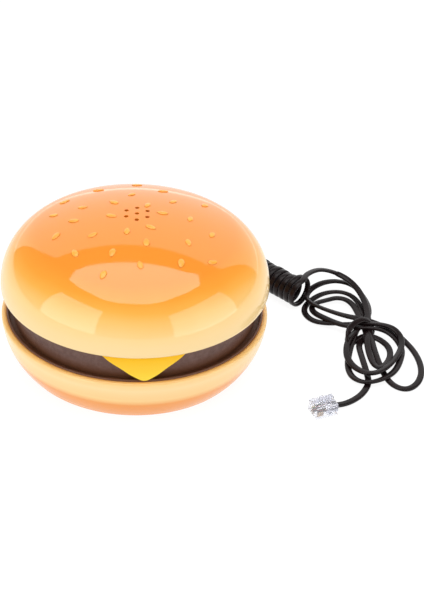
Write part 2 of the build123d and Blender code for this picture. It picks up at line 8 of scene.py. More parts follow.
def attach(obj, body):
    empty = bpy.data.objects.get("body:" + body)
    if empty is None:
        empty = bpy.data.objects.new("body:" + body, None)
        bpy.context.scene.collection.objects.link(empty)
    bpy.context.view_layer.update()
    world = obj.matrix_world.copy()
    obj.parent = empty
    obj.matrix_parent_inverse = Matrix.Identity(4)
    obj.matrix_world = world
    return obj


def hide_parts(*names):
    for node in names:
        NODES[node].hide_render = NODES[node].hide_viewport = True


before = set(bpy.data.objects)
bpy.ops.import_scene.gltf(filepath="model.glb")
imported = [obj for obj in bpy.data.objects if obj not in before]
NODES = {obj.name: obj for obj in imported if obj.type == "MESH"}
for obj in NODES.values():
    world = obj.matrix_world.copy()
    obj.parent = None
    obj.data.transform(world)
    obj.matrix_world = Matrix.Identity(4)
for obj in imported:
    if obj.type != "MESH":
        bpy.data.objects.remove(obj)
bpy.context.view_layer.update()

# Looks of the hamburger telephone. Shapes are worked out in millimetres in the frame of the CAD
# model (+Z up, burger axis on Z, cheese corner at -Y) and turned into metres in one place.
MM = 0.001

# Top bun, the same profile as the CAD shell
CROWN_TOP = 84.0
LID_R = 70.0
LID_Z = 43.1
LID_WALL = 2.5
LIP_R = 2.0
SHOULDER_R = 31.4
CROWN_R = 135.1
TANGENT_DEG = 68.2
SHOULDER_C = (LID_R - SHOULDER_R, LID_Z + LIP_R)
CROWN_C = (0.0, CROWN_TOP - CROWN_R)
SOUND_HOLE_R = 1.15
SOUND_RING_R = 6.15
SOUND_TURN_DEG = 85.0

# Cheese slice, given on its middle surface
CHEESE_T = 1.8
CHEESE_EDGE_R = 0.55         # rounding of its edges
DECK_TOP = 41.8
DECK_EDGE_R = 2.5
BEND_START = 61.0            # radius where the slice leaves the deck
BEND_R = DECK_EDGE_R + CHEESE_T / 2
KICK = 0.03                  # the corner's outward curl, per millimetre squared
CHEESE_COLUMNS = 44
# Right half of the slice laid flat, tip to back corner: how far across and in front of the axis.
# These points steer a smooth curve.
SLICE_EDGE = [(0, 76.6), (1.5, 76.6), (5.4, 74.9), (8.6, 73.1), (11.9, 70.5), (15.4, 67.8), (18, 65.2),
              (19.7, 62.6), (22.6, 60.6), (26.5, 57), (30, 51.5), (36, 45), (43, 39.5), (50.2, 35),
              (49.8, 32), (44.7, 26.6), (3, -19.6), (1.4, -21.9), (0, -22)]

# Brown bead along the inner edge of the bottom bun's rim: radius and height of its middle, and its own radius
BEAD_AT = (66.9, 28.3)
BEAD_R = 0.75

# Keys
KEY_TOP = 45.0
KEY_SIZE = (11.0, 8.5)
KEY_GAP = 0.3                # round each key, in the cheese
KEY_X = 15.0
KEY_ROWS = (-11.0, -22.5, -34.0, -45.5)
DIAL_KEYS = (("1", "2", "3"), ("4", "5", "6"), ("7", "8", "9"), ("star", "0", "hash"))
FUNCTION_KEYS = (("redial", -8.0, 0.5), ("flash", 8.0, 0.5))
LEGENDS = {"star": "*", "hash": "#", "redial": "R", "flash": "F"}
LEGEND_SIZE = 5.4
LEGEND_T = 0.05
MIC_HOLE_R = 0.7
MIC_HOLES_X = (-2.2, 0.0, 2.2)
MIC_Y = -55.5

# Flat cord
CORD_W = 3.5
CORD_T = 1.9
COIL_START = (51.0, 95.8)
COIL_END = (98.35, 37.64)
COIL_R = 7.15                # of the middle of the cord
COIL_END_R = 8.35            # the slack last turn is wider
COIL_TURNS = 18.5
COIL_MARGIN = 1.85           # from the coil's first end face to the middle of the cord
COIL_SLACK = 1.2             # extra opening of the last turn
FLOOR_GAP = 0.1              # between the coil and the table
POINTS_PER_TURN = 14
CORD_STEPS = 6               # steps of the smooth curve per route point
ROLL_DEG = 24                # how far the flat cord rolls to and fro where it doesn't lie on the table

# Plug
PLUG_REAR = (98.2, -58.6, 0.0)
PLUG_DEG = 16.86             # direction from the plug back along the cord
PLUG_L = 12.3
PLUG_W = 9.65
PLUG_H = 6.6
CORE_PITCH = 1.02            # of the four contacts and the cores that run to them
CORE_R = 0.3
CORE_COLOURS = ((26, 26, 26), (176, 34, 28), (30, 122, 50), (226, 190, 40))

# Route of the cord from the strain relief to the first turn of the coil
LEAD = [(0, 80, 10), (0.6, 92, 7.4), (5, 103.5, 3.0), (16, 111.6, 1.3), (29.5, 112.6, 1.1),
        (41, 111.4, 1.1), (49.5, 107.8, 1.1), (55.6, 103.6, 1.1), (57.2, 98.6, 1.1)]
# from the last turn over to the tied bundle
LINK = [(101.2, 44.2, 17.2), (107, 50.6, 15.8), (112.4, 54.4, 14.2), (118.3, 55.6, 12.2),
        (124, 53.8, 10.6), (129, 48.8, 9.4), (132.6, 40, 8.2), (134, 28.5, 7), (132.6, 14, 5.6)]
# three and a half turns of the bundle, a figure of eight that crosses itself at the waist
LOOPS = [
    (130.6, 0, 4.8), (130, -14, 3.6), (130.4, -27, 2), (132, -38, 1.2), (136, -44.4, 1.2),
    (141.5, -45.6, 1.2), (147.6, -40.6, 1.2), (152, -32, 1.2), (153.6, -21.5, 1.2), (152.8, -11, 1.2),
    (149.8, -2.6, 1.8), (144.6, 4.6, 3.8), (137, 8.6, 5.8), (129, 12.5, 6.9), (121, 17.6, 5.6),
    (112.8, 24, 5), (106.4, 30, 4.6), (102.2, 35.4, 4.6), (101.6, 41, 4.8), (105, 46.8, 5),
    (109.4, 50.8, 5.4), (115, 54, 5.6), (122.4, 55, 5.8), (129.6, 51.4, 5.8), (134, 44, 5.4),
    (136.2, 32, 5), (134.6, 20, 5), (128.6, 11, 5), (122.2, 2.8, 4.9), (117, -4, 4.4), (114.3, -12, 3.8),
    (113.5, -19.6, 3.5), (115.2, -27.6, 3.6), (119.8, -34.4, 4.4), (126, -35.4, 4.9), (133.6, -29.8, 4.8),
    (140.8, -20.5, 4.6), (145.8, -11.2, 4.6), (147.4, -3, 4.8), (144.8, 4.1, 6), (138.5, 7, 6.8),
    (129, 8.6, 7.1), (119.6, 10.4, 5.4), (110.6, 15.2, 2.6), (103.4, 19.4, 1.3), (99.8, 24.4, 1.2),
    (98.8, 30.6, 1.2), (101.4, 37.2, 1.2), (106.6, 42.8, 1.6), (112, 46.4, 2.2), (118.6, 48.2, 2.6),
    (125, 47.2, 2.8), (129.8, 42.4, 3), (132.2, 33.4, 3), (131.4, 22, 3), (127, 12, 3), (121.6, 1, 3.4),
    (117, -10, 2.2), (113.6, -20.6, 1.4), (112.6, -29, 1.3), (114, -36, 1.9), (118.4, -40.6, 2.8),
    (124.6, -40.4, 3.2), (131.6, -36.4, 2.8), (137.6, -30.4, 2.2), (142.4, -22, 2.2), (146, -12.6, 2.4),
    (145.6, -6, 3), (142.4, 0.6, 4.4), (136.4, 3.6, 6.2), (128.4, 4.6, 6.6), (120.2, 7.4, 5.6),
    (113.6, 13.5, 4.2), (108.6, 20, 3.2), (104, 26.6, 2.4), (103.4, 32.4, 2.2), (107, 37, 2.4),
    (113.4, 38.8, 2.8), (119.6, 41, 3), (124.8, 39.4, 3), (128, 34, 3), (129, 24, 3.2), (129.4, 10, 3.2),
    (128.4, 0, 5.2), (126.8, -9, 4.6), (126.2, -18, 3.6), (126.8, -25.6, 3), (129.4, -28.8, 3),
    (134.2, -24.6, 3), (138.2, -17.4, 3), (139, -9.6, 3), (136.2, -3.4, 3.2), (132, 0.4, 3.4)]
# once round the waist
WRAP = [(128, 3, 2.6), (123, 0.4, 1.3), (119, -4, 1.3), (116.6, -4.8, 3.4), (116.4, -2.8, 6.6),
        (118, 0.2, 8.7), (121, 3.8, 9.5), (124.6, 6.8, 9.7), (128.6, 9, 9.3), (132.2, 8.6, 7),
        (133.4, 6.4, 3.8), (131.6, 3.2, 1.2), (128, 0.4, 1.1), (124.6, -2, 1.1)]
# and out of the lower loop to the plug, 3 mm into its back
TAIL = [(122.8, -7, 1.9), (122.2, -15, 2.5), (122, -24, 2.3), (122, -31.4, 1.5), (121.6, -37, 1.1),
        (119.8, -42, 1.1), (115.6, -48.2, 1.1), (110.2, -53, 1.2), (104.2, -56.6, 1.6), (98.2, -58.6, 2.6),
        (95.3, -59.5, 2.6)]

# Seeds: x, y and the heading of the long axis, in degrees from +X
SEEDS = [(3, 44, 5), (-18, 37, 165), (-1, 24, 45), (16, 32, 20), (-36, 27, 20), (-27, 13, 160),
         (-11, 14, 130), (6, 9, 65), (20, 16, 45), (37, 19, 55), (-42, 12, 155), (-13, -1, 150),
         (13, 1, 175), (27, -2, 70), (-32, 0, 160), (6, -13, 150), (-6, -16, 80), (-41, -10, 55),
         (-23, -16, 25), (37, -13, 65), (3, -25, 85), (24, -23, 100), (-32, -27, 105), (-14, -31, 70),
         (-1, -40, 100), (19, -38, 80), (35, -34, 25), (-19, -44, 65)]
SEED_SIZE = (2.9, 1.7, 0.7)  # half length, half width, height


# ---------------------------------------------------------------- camera, floor and lights
CAMERA_AT = (-40.704, -545.737, 389.514)
CAMERA_TO = (39.825, -6.907, 35.0)
CAMERA_ROLL_DEG = 3.288
CAMERA_LENS = 74.0
CAMERA_HEADING_DEG = 8.5
CAMERA_SENSOR = 36.0
FLOOR_GLOW = 0.92            # the floor is a light table
OVERHEAD_AT = (-0.008, -0.055, 0.86)
OVERHEAD_W = 1.1
OVERHEAD_D = 0.84
OVERHEAD_CORNERS = ((0.25, -1.0), (0.55, -0.8), (0.88, -0.15), (1.0, 0.3), (0.72, 0.86), (0.6, 0.92))
OVERHEAD_RADIANCE = 3.0


def metres(point):
    return Vector(point) * MM


def link(thing):
    bpy.context.scene.collection.objects.link(thing)
    return thing


def make_camera():
    data = bpy.data.cameras.new("camera")
    data.lens = CAMERA_LENS
    data.sensor_width = CAMERA_SENSOR
    camera = link(bpy.data.objects.new("camera", data))
    look = metres(CAMERA_TO) - metres(CAMERA_AT)
    roll = Quaternion((0, 0, 1), math.radians(CAMERA_ROLL_DEG))
    camera.rotation_mode = "QUATERNION"
    camera.location = metres(CAMERA_AT)
    camera.rotation_quaternion = look.to_track_quat("-Z", "Y") @ roll
    bpy.context.scene.camera = camera


def softbox(name, place, target, size, radiance):
    """A rectangular light that the camera doesn't see, given the brightness of its face."""
    data = bpy.data.lights.new(name, "AREA")
    data.shape = "RECTANGLE"
    data.size, data.size_y = size
    data.energy = radiance * math.pi * size[0] * size[1]
    lamp = link(bpy.data.objects.new(name, data))
    lamp.location = place
    lamp.rotation_mode = "QUATERNION"
    lamp.rotation_quaternion = (Vector(target) - Vector(place)).to_track_quat("-Z", "Y")
    lamp.visible_camera = False


def overhead_light():
    """The light above the burger: a many-sided box, squarer at its far side."""
    mesh = bpy.data.meshes.new("overhead")
    right = [(OVERHEAD_W / 2 * x, OVERHEAD_D / 2 * y) for x, y in OVERHEAD_CORNERS]
    corners = right + [(-x, y) for x, y in reversed(right)]
    mesh.from_pydata([(x, y, 0) for x, y in corners], [], [tuple(range(len(corners)))])
    lamp = link(bpy.data.objects.new("overhead", mesh))
    lamp.location = OVERHEAD_AT
    lamp.rotation_euler = (0, 0, -math.radians(CAMERA_HEADING_DEG))
    lamp.visible_camera = False
    material = bpy.data.materials.new("overhead")
    material.use_nodes = True
    tree = material.node_tree
    glow = new_node(tree, "ShaderNodeEmission", {"Strength": OVERHEAD_RADIANCE})
    tree.links.new(glow.outputs[0], tree.nodes["Material Output"].inputs["Surface"])
    mesh.materials.append(material)


def around(azimuth, distance, height):
    """A place at a compass azimuth, clockwise from +Y, and a height above the floor."""
    angle = math.radians(azimuth)
    return (distance * math.sin(angle), distance * math.cos(angle), height)


def make_lights():
    overhead_light()
    softbox("back_wall", around(11, 1.2, 0.88), around(11, 0, 0.88), (2.7, 1.76), 1.0)
    softbox("front_left", around(-121, 1.1, 0.56), around(-121, 0, 0.56), (1.0, 1.02), 2.5)
    softbox("front_right", around(126, 1.1, 0.46), around(126, 0, 0.46), (1.2, 0.92), 1.9)
    world = bpy.data.worlds.new("studio")
    world.use_nodes = True
    world.node_tree.nodes["Background"].inputs["Color"].default_value = (1.0, 1.0, 1.0, 1.0)
    world.node_tree.nodes["Background"].inputs["Strength"].default_value = 0.2
    bpy.context.scene.world = world
    bpy.context.scene.view_settings.view_transform = "Standard"


# ---------------------------------------------------------------- shader helpers
def rgb(red, green, blue):
    """A display colour, 0 to 255, as the linear colour that a shader takes."""
    def linear(value):
        value /= 255.0
        return value / 12.92 if value <= 0.04045 else ((value + 0.055) / 1.055) ** 2.4
    return (linear(red), linear(green), linear(blue), 1.0)


def new_node(tree, kind, values=None, **settings):
    made = tree.nodes.new(kind)
    for name, value in settings.items():
        setattr(made, name, value)
    for name, value in (values or {}).items():
        made.inputs[name].default_value = value
    return made


def object_place(tree):
    return new_node(tree, "ShaderNodeTexCoord").outputs["Object"]


def noise(tree, scale, detail=3.0, rough=0.5):
    """Grey noise with so many cells to the metre."""
    made = new_node(tree, "ShaderNodeTexNoise", {"Scale": scale, "Detail": detail, "Roughness": rough})
    tree.links.new(object_place(tree), made.inputs["Vector"])
    return made.outputs["Fac"]


def math_node(tree, operation, first, second):
    made = new_node(tree, "ShaderNodeMath", operation=operation)
    for i, value in enumerate((first, second)):
        if isinstance(value, (int, float)):
            made.inputs[i].default_value = value
        else:
            tree.links.new(value, made.inputs[i])
    return made.outputs[0]


def spread(tree, value, low, high, to_low=0.0, to_high=1.0):
    """Stretches a value from one range to another and stops at its ends."""
    made = new_node(tree, "ShaderNodeMapRange", {"From Min": low, "From Max": high,
                                                 "To Min": to_low, "To Max": to_high})
    tree.links.new(value, made.inputs["Value"])
    return made.outputs["Result"]


def ramp(tree, value, stops):
    made = new_node(tree, "ShaderNodeValToRGB")
    elements = made.color_ramp.elements
    while len(elements) < len(stops):
        elements.new(0.5)
    for element, (place, colour) in zip(elements, stops):
        element.position = place
        element.color = colour
    tree.links.new(value, made.inputs["Fac"])
    return made.outputs["Color"]


def mix(tree, factor, first, second, blend="MIX"):
    made = new_node(tree, "ShaderNodeMix", data_type="RGBA", blend_type=blend)
    for socket, value in ((0, factor), (6, first), (7, second)):
        if isinstance(value, (int, float, tuple)):
            made.inputs[socket].default_value = value
        else:
            tree.links.new(value, made.inputs[socket])
    return made.outputs[2]


def axis_value(tree, axis):
    split = new_node(tree, "ShaderNodeSeparateXYZ")
    tree.links.new(object_place(tree), split.inputs[0])
    return split.outputs[axis]


def radius_value(tree):
    x, y = axis_value(tree, "X"), axis_value(tree, "Y")
    squares = math_node(tree, "ADD", math_node(tree, "MULTIPLY", x, x), math_node(tree, "MULTIPLY", y, y))
    return math_node(tree, "POWER", squares, 0.5)


def bump(tree, shader, height, distance, strength=1.0):
    made = new_node(tree, "ShaderNodeBump", {"Distance": distance, "Strength": strength})
    tree.links.new(height, made.inputs["Height"])
    tree.links.new(made.outputs["Normal"], shader.inputs["Normal"])


def shader_for(name, **values):
    material = bpy.data.materials.new(name)
    material.use_nodes = True
    shader = material.node_tree.nodes["Principled BSDF"]
    for key, value in values.items():
        shader.inputs[key.replace("_", " ")].default_value = value
    return material, material.node_tree, shader


# ---------------------------------------------------------------- materials
def height_paint(tree, stops, wander):
    """Sprayed bands of colour that follow the height, with a soft uneven edge."""
    low, high = stops[0][0] * MM, stops[-1][0] * MM
    drift = spread(tree, noise(tree, 28.0, 2.0), 0.3, 0.7, -wander * MM, wander * MM)
    height = math_node(tree, "ADD", axis_value(tree, "Z"), drift)
    places = [((z * MM - low) / (high - low), rgb(*colour)) for z, colour in stops]
    return ramp(tree, spread(tree, height, low, high), places)


def bun_gloss(tree, shader, roughness):
    """Gloss over moulded plastic: faint orange peel and slightly uneven polish."""
    polish = spread(tree, noise(tree, 60.0, 4.0), 0.35, 0.65, roughness * 0.7, roughness * 1.3)
    tree.links.new(polish, shader.inputs["Roughness"])
    bump(tree, shader, noise(tree, 420.0, 2.0), 0.00001, 0.35)


def top_bun_paint():
    material, tree, shader = shader_for("bun_upper", IOR=1.58)
    stops = [(43.0, (242, 212, 154)), (50.0, (242, 208, 146)), (56.0, (242, 201, 130)),
             (61.0, (242, 187, 104)), (65.0, (240, 168, 70)), (69.0, (238, 152, 50)),
             (74.0, (235, 139, 41)), (84.0, (235, 138, 42))]
    tree.links.new(height_paint(tree, stops, 0.8), shader.inputs["Base Color"])
    bun_gloss(tree, shader, 0.065)
    return material


def bottom_bun_paint():
    material, tree, shader = shader_for("bun_lower", IOR=1.5)
    # The stops follow the bun's sprayed colour, with painted light and shade mixed in: the paler band at 12
    # to 14.5 mm and the darker one at 18 mm offset the shading that the lamps give across the side.
    stops = [(0.0, (246, 186, 98)), (6.0, (248, 196, 106)), (9.5, (248, 204, 116)),
             (12.0, (249, 214, 138)), (14.5, (248, 212, 140)), (18.0, (246, 202, 135)),
             (21.0, (246, 207, 143)), (24.0, (246, 213, 154)), (27.2, (246, 206, 140)),
             (28.4, (245, 190, 108))]
    body = height_paint(tree, stops, 0.25)
    inner = spread(tree, radius_value(tree), 67.2 * MM, 68.6 * MM)
    tree.links.new(mix(tree, inner, rgb(236, 150, 62), body), shader.inputs["Base Color"])
    bun_gloss(tree, shader, 0.2)
    return material


def patty_crust():
    material, tree, shader = shader_for("patty_brown", IOR=1.48)
    coarse = noise(tree, 420.0, 5.0, 0.6)
    fine = noise(tree, 1300.0, 4.0, 0.65)
    colour = ramp(tree, coarse, [(0.25, rgb(84, 56, 50)), (0.5, rgb(98, 70, 62)), (0.78, rgb(114, 86, 78))])
    # painted reflection: the patty turns warmer brown towards its foot, standing in for the orange bottom bun
    # reflected there
    low = spread(tree, axis_value(tree, "Z"), 34.0 * MM, 28.5 * MM)
    tree.links.new(mix(tree, low, colour, rgb(104, 64, 40)), shader.inputs["Base Color"])
    tree.links.new(spread(tree, fine, 0.3, 0.7, 0.34, 0.56), shader.inputs["Roughness"])
    height = math_node(tree, "ADD", math_node(tree, "MULTIPLY", coarse, 1.5), fine)
    bump(tree, shader, height, 0.0002, 0.6)
    return material


def cheese_skin():
    material, tree, shader = shader_for("cheese_yellow", IOR=1.46, Roughness=0.28, Specular_IOR_Level=0.3)
    upper = ramp(tree, noise(tree, 45.0, 3.0), [(0.3, rgb(249, 188, 4)), (0.7, rgb(252, 196, 12))])
    # painted light: the slice turns paler yellow down its hanging corner, standing in for light glowing
    # through it
    high = spread(tree, axis_value(tree, "Z"), 31.0 * MM, 40.0 * MM)
    tree.links.new(mix(tree, high, rgb(252, 212, 70), upper), shader.inputs["Base Color"])
    bump(tree, shader, noise(tree, 260.0, 3.0), 0.00003, 0.3)
    return material


def seed_paint():
    """Yellow seeds, with painted shade where they meet the bun."""
    material, tree, shader = shader_for("seed", IOR=1.46, Roughness=0.22)
    rim = new_node(tree, "ShaderNodeAttribute", attribute_name="rim")
    tone = ramp(tree, noise(tree, 240.0, 3.0), [(0.35, rgb(238, 156, 50)), (0.65, rgb(242, 170, 68))])
    # painted shade: towards its rim each seed turns darker brown, where it meets the bun
    edge = spread(tree, rim.outputs["Fac"], 0.62, 1.0)
    tree.links.new(mix(tree, edge, tone, rgb(206, 112, 24)), shader.inputs["Base Color"])
    bump(tree, shader, noise(tree, 700.0, 2.0), 0.00004, 0.4)
    return material


def moulded(name, colour, roughness=0.4, grain=0.00002, ior=1.5):
    """Moulded plastic or rubber: fine texture, faint colour and polish variation."""
    material, tree, shader = shader_for(name, IOR=ior)
    dark = rgb(*[c * 0.975 for c in colour])
    tone = ramp(tree, noise(tree, 240.0, 3.0), [(0.35, dark), (0.65, rgb(*colour))])
    tree.links.new(tone, shader.inputs["Base Color"])
    polish = spread(tree, noise(tree, 300.0, 3.0), 0.3, 0.7, roughness * 0.85, roughness * 1.15)
    tree.links.new(polish, shader.inputs["Roughness"])
    bump(tree, shader, noise(tree, 1500.0, 3.0), grain, 0.5)
    return material


def cord_skin():
    material, tree, shader = shader_for("cord_skin", IOR=1.42, Specular_IOR_Level=0.25)
    tone = ramp(tree, noise(tree, 70.0, 3.0), [(0.35, rgb(17, 9, 11)), (0.65, rgb(27, 17, 18))])
    tree.links.new(tone, shader.inputs["Base Color"])
    polish = spread(tree, noise(tree, 250.0, 3.0), 0.3, 0.7, 0.22, 0.32)
    tree.links.new(polish, shader.inputs["Roughness"])
    bump(tree, shader, noise(tree, 500.0, 3.0), 0.00004, 0.5)
    return material


def clear_plastic():
    material, tree, shader = shader_for("clear_plastic", Transmission_Weight=0.78, IOR=1.45)
    tone = ramp(tree, noise(tree, 200.0, 2.0), [(0.3, rgb(226, 228, 238)), (0.7, rgb(246, 246, 252))])
    tree.links.new(tone, shader.inputs["Base Color"])
    polish = spread(tree, noise(tree, 300.0, 2.0), 0.3, 0.7, 0.08, 0.18)
    tree.links.new(polish, shader.inputs["Roughness"])
    return material


def metal(name, colour, roughness):
    material, tree, shader = shader_for(name, Metallic=1.0)
    dark = rgb(*[c * 0.85 for c in colour])
    tone = ramp(tree, noise(tree, 400.0, 4.0), [(0.3, dark), (0.7, rgb(*colour))])
    tree.links.new(tone, shader.inputs["Base Color"])
    polish = spread(tree, noise(tree, 700.0, 3.0), 0.3, 0.7, roughness * 0.7, roughness * 1.3)
    tree.links.new(polish, shader.inputs["Roughness"])
    return material


def circuit_board():
    material, tree, shader = shader_for("circuit_board", Roughness=0.35)
    cells = new_node(tree, "ShaderNodeTexBrick", {"Scale": 160.0, "Mortar Size": 0.03})
    cells.inputs["Color1"].default_value = rgb(22, 92, 48)
    cells.inputs["Color2"].default_value = rgb(26, 106, 54)
    cells.inputs["Mortar"].default_value = rgb(60, 140, 74)
    tree.links.new(object_place(tree), cells.inputs["Vector"])
    tree.links.new(cells.outputs["Color"], shader.inputs["Base Color"])
    return material


MATERIALS = {
    "bun_upper": top_bun_paint(), "bun_lower": bottom_bun_paint(), "patty_brown": patty_crust(),
    "cheese_yellow": cheese_skin(), "seed": seed_paint(), "cord_skin": cord_skin(),
    "clear_plastic": clear_plastic(), "circuit_board": circuit_board(),
    "key_plastic": moulded("key_plastic", (226, 220, 204), 0.35),
    "ear_cover_plastic": moulded("ear_cover_plastic", (238, 198, 138), 0.42, 0.00004),
    "silicone": moulded("silicone", (206, 204, 198), 0.55),
    "black_plastic": moulded("black_plastic", (30, 29, 30), 0.4),
    "black_rubber": moulded("black_rubber", (26, 25, 26), 0.7, 0.00005),
    "wire_skin": moulded("wire_skin", (150, 30, 26), 0.4),
    "bright_can": metal("bright_can", (205, 206, 208), 0.28),
    "steel": metal("steel", (190, 192, 196), 0.3),
    "gold_contact": metal("gold_contact", (224, 176, 84), 0.22),
}

NODE_FINISH = {
    "bottom_bun": "bun_lower", "patty": "patty_brown", "ear_cover": "ear_cover_plastic",
    "key_membrane": "silicone", "main_board": "circuit_board", "board_screws": "steel",
    "hook_switch": "black_plastic", "microphone": "bright_can", "mic_boot": "black_rubber",
    "ringer_switch": "black_plastic", "tone_switch": "black_plastic", "rubber_feet": "black_rubber",
    "case_screws": "steel", "cord_grommet": "black_rubber", "hinge_pin": "steel",
    "lid_bumpers": "silicone", "line_wires": "wire_skin", "lid_wires": "wire_skin",
    "earpiece": "black_plastic", "earpiece_gasket": "black_rubber", "ringer": "bright_can",
    "ringer_retainer": "black_plastic", "ringer_screws": "steel", "lid_screws": "steel",
    "hook_plunger": "key_plastic", "ringer_knob": "black_plastic", "tone_knob": "black_plastic",
    "plug_contacts": "gold_contact",
}


def dress_nodes():
    finishes = dict(NODE_FINISH)
    for name in NODES:
        if name.startswith("key_") and name != "key_membrane":
            finishes[name] = "key_plastic"
    for name, finish in finishes.items():
        for place in NODES[name].material_slots:
            place.material = MATERIALS[finish]


# ---------------------------------------------------------------- mesh helpers
def new_object(name, points, faces):
    """A mesh object from points in millimetres."""
    mesh = bpy.data.meshes.new(name)
    mesh.from_pydata([tuple(c * MM for c in p) for p in points], [], faces)
    mesh.validate()
    mesh.update()
    return link(bpy.data.objects.new(name, mesh))


def shade(piece, sharp_deg=35.0):
    piece.data.shade_smooth()
    piece.data.set_sharp_from_angle(angle=math.radians(sharp_deg))


def apply_modifiers(piece):
    graph = bpy.context.evaluated_depsgraph_get()
    mesh = bpy.data.meshes.new_from_object(piece.evaluated_get(graph))
    piece.modifiers.clear()
    piece.data = mesh


def cut(piece, cutters):
    """Takes the cutters away from a piece, one after the other, and deletes them."""
    for cutter in cutters:
        modifier = piece.modifiers.new("cut", "BOOLEAN")
        modifier.solver = "EXACT"
        modifier.object = cutter
    apply_modifiers(piece)
    for cutter in cutters:
        bpy.data.objects.remove(cutter)


def finish_piece(piece, material, body, replaced=()):
    piece.data.materials.clear()
    piece.data.materials.append(MATERIALS[material])
    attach(piece, body)
    if replaced:
        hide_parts(*replaced)
    return piece


def arc(centre, radius, start_deg, end_deg, steps):
    angles = np.radians(np.linspace(start_deg, end_deg, steps + 1))
    return [(centre[0] + radius * math.cos(a), centre[1] + radius * math.sin(a)) for a in angles]


def lathe(name, profile, segments=256, place=(0.0, 0.0, 0.0)):
    """Turns a profile of (radius, z) about a vertical axis. Both of its ends lie on the axis."""
    rings = profile[1:-1]
    angles = [2 * math.pi * i / segments for i in range(segments)]
    points = [(r * math.cos(a), r * math.sin(a), z) for r, z in rings for a in angles]
    faces = []
    for i in range(len(rings) - 1):
        for j in range(segments):
            after = (j + 1) % segments
            faces.append((i * segments + j, (i + 1) * segments + j,
                          (i + 1) * segments + after, i * segments + after))
    start, end = len(points), len(points) + 1
    points += [(0, 0, profile[0][1]), (0, 0, profile[-1][1])]
    last = (len(rings) - 1) * segments
    for j in range(segments):
        after = (j + 1) % segments
        faces.append((start, j, after))
        faces.append((end, last + after, last + j))
    points = [tuple(c + d for c, d in zip(p, place)) for p in points]
    return new_object(name, points, faces)


def rounded_block(name, place, size, corner, steps=4):
    """An upright block with rounded vertical corners, centred on a place."""
    half_x, half_y = size[0] / 2 - corner, size[1] / 2 - corner
    outline = []
    for turn, (sx, sy) in enumerate(((1, 1), (-1, 1), (-1, -1), (1, -1))):
        outline += arc((sx * half_x, sy * half_y), corner, turn * 90, turn * 90 + 90, steps)
    count = len(outline)
    points = [(place[0] + x, place[1] + y, place[2] + dz) for dz in (-size[2] / 2, size[2] / 2)
              for x, y in outline]
    faces = [(i, (i + 1) % count, count + (i + 1) % count, count + i) for i in range(count)]
    faces += [tuple(reversed(range(count))), tuple(range(count, 2 * count))]
    return new_object(name, points, faces)


# ---------------------------------------------------------------- top bun and seeds
def crown_height(x, y):
    return CROWN_C[1] + math.sqrt(CROWN_R ** 2 - x * x - y * y)


def lid_profile():
    outer = arc(CROWN_C, CROWN_R, 90, TANGENT_DEG, 24) + arc(SHOULDER_C, SHOULDER_R, TANGENT_DEG, 0, 44)[1:]
    lip = arc((LID_R - LIP_R, LID_Z + LIP_R), LIP_R, 0, -90, 8)[1:]
    foot = [(LID_R - LID_WALL, LID_Z)]
    inner = arc(SHOULDER_C, SHOULDER_R - LID_WALL, 0, TANGENT_DEG, 20)
    under = arc(CROWN_C, CROWN_R - LID_WALL, TANGENT_DEG, 90, 12)[1:]
    return outer + lip + foot + inner + under


def sound_hole_cutters():
    places = [(0.0, 0.0)]
    for i in range(6):
        angle = math.radians(SOUND_TURN_DEG + 60 * i)
        places.append((SOUND_RING_R * math.cos(angle), SOUND_RING_R * math.sin(angle)))
    cutters = []
    for x, y in places:
        top = crown_height(x, y)
        profile = [(0, top + 1), (SOUND_HOLE_R, top + 1), (SOUND_HOLE_R, top - 5), (0, top - 5)]
        cutters.append(lathe("sound_hole", profile, 32, (x, y, 0)))
    return cutters


def make_top_bun():
    bun = lathe("top_bun_shell", lid_profile())
    cut(bun, sound_hole_cutters())
    shade(bun)
    finish_piece(bun, "bun_upper", "lid", ["top_bun"])


def seed_shape(rings=9, around_count=28):
    """Half of a flattened teardrop, as unit points with how near each is to the rim."""
    points, rims = [(0.0, 0.0, 1.0)], [0.0]
    for i in range(1, rings + 1):
        reach = math.sin(math.pi / 2 * i / rings)
        lift = math.cos(math.pi / 2 * i / rings)
        for j in range(around_count):
            angle = 2 * math.pi * j / around_count
            x = reach * math.cos(angle)
            narrow = 1.0 - 0.28 * (x + 1) / 2 - 0.10 * x * x
            points.append((x, reach * math.sin(angle) * narrow * 1.12, lift ** 0.8))
            rims.append(i / rings)
    return points, rims


def seed_faces(rings=9, around_count=28):
    faces = [(0, 1 + j, 1 + (j + 1) % around_count) for j in range(around_count)]
    for i in range(rings - 1):
        for j in range(around_count):
            after = (j + 1) % around_count
            low, high = 1 + i * around_count, 1 + (i + 1) * around_count
            faces.append((low + j, high + j, high + after, low + after))
    faces.append(tuple(1 + (rings - 1) * around_count + j for j in reversed(range(around_count))))
    return faces


def make_seeds():
    shape, rims = seed_shape()
    faces_of_one = seed_faces()
    points, faces, all_rims = [], [], []
    for i, (x, y, heading) in enumerate(SEEDS):
        size = 1.0 + 0.07 * math.sin(2.3 * i)
        turn = Matrix.Rotation(math.radians(heading + 180 * (i % 2)), 3, "Z")
        up = Vector((x, y, crown_height(x, y) - CROWN_C[1])).normalized()
        lean = Vector((0, 0, 1)).rotation_difference(up).to_matrix()
        start = len(points)
        for px, py, pz in shape:
            flat = turn @ Vector((px * SEED_SIZE[0] * size, py * SEED_SIZE[1] * size, 0))
            spot = Vector((x, y, crown_height(x, y))) + lean @ flat
            sink = -0.25 if pz <= 0.001 else 0.0
            points.append(tuple(spot + up * (pz * SEED_SIZE[2] * size + sink)))
        all_rims += rims
        faces += [tuple(start + k for k in face) for face in faces_of_one]
    seeds = new_object("sesame_seed_coat", points, faces)
    values = seeds.data.attributes.new("rim", "FLOAT", "POINT")
    values.data.foreach_set("value", all_rims)
    shade(seeds, 60)
    finish_piece(seeds, "seed", "lid", ["sesame_seeds"])


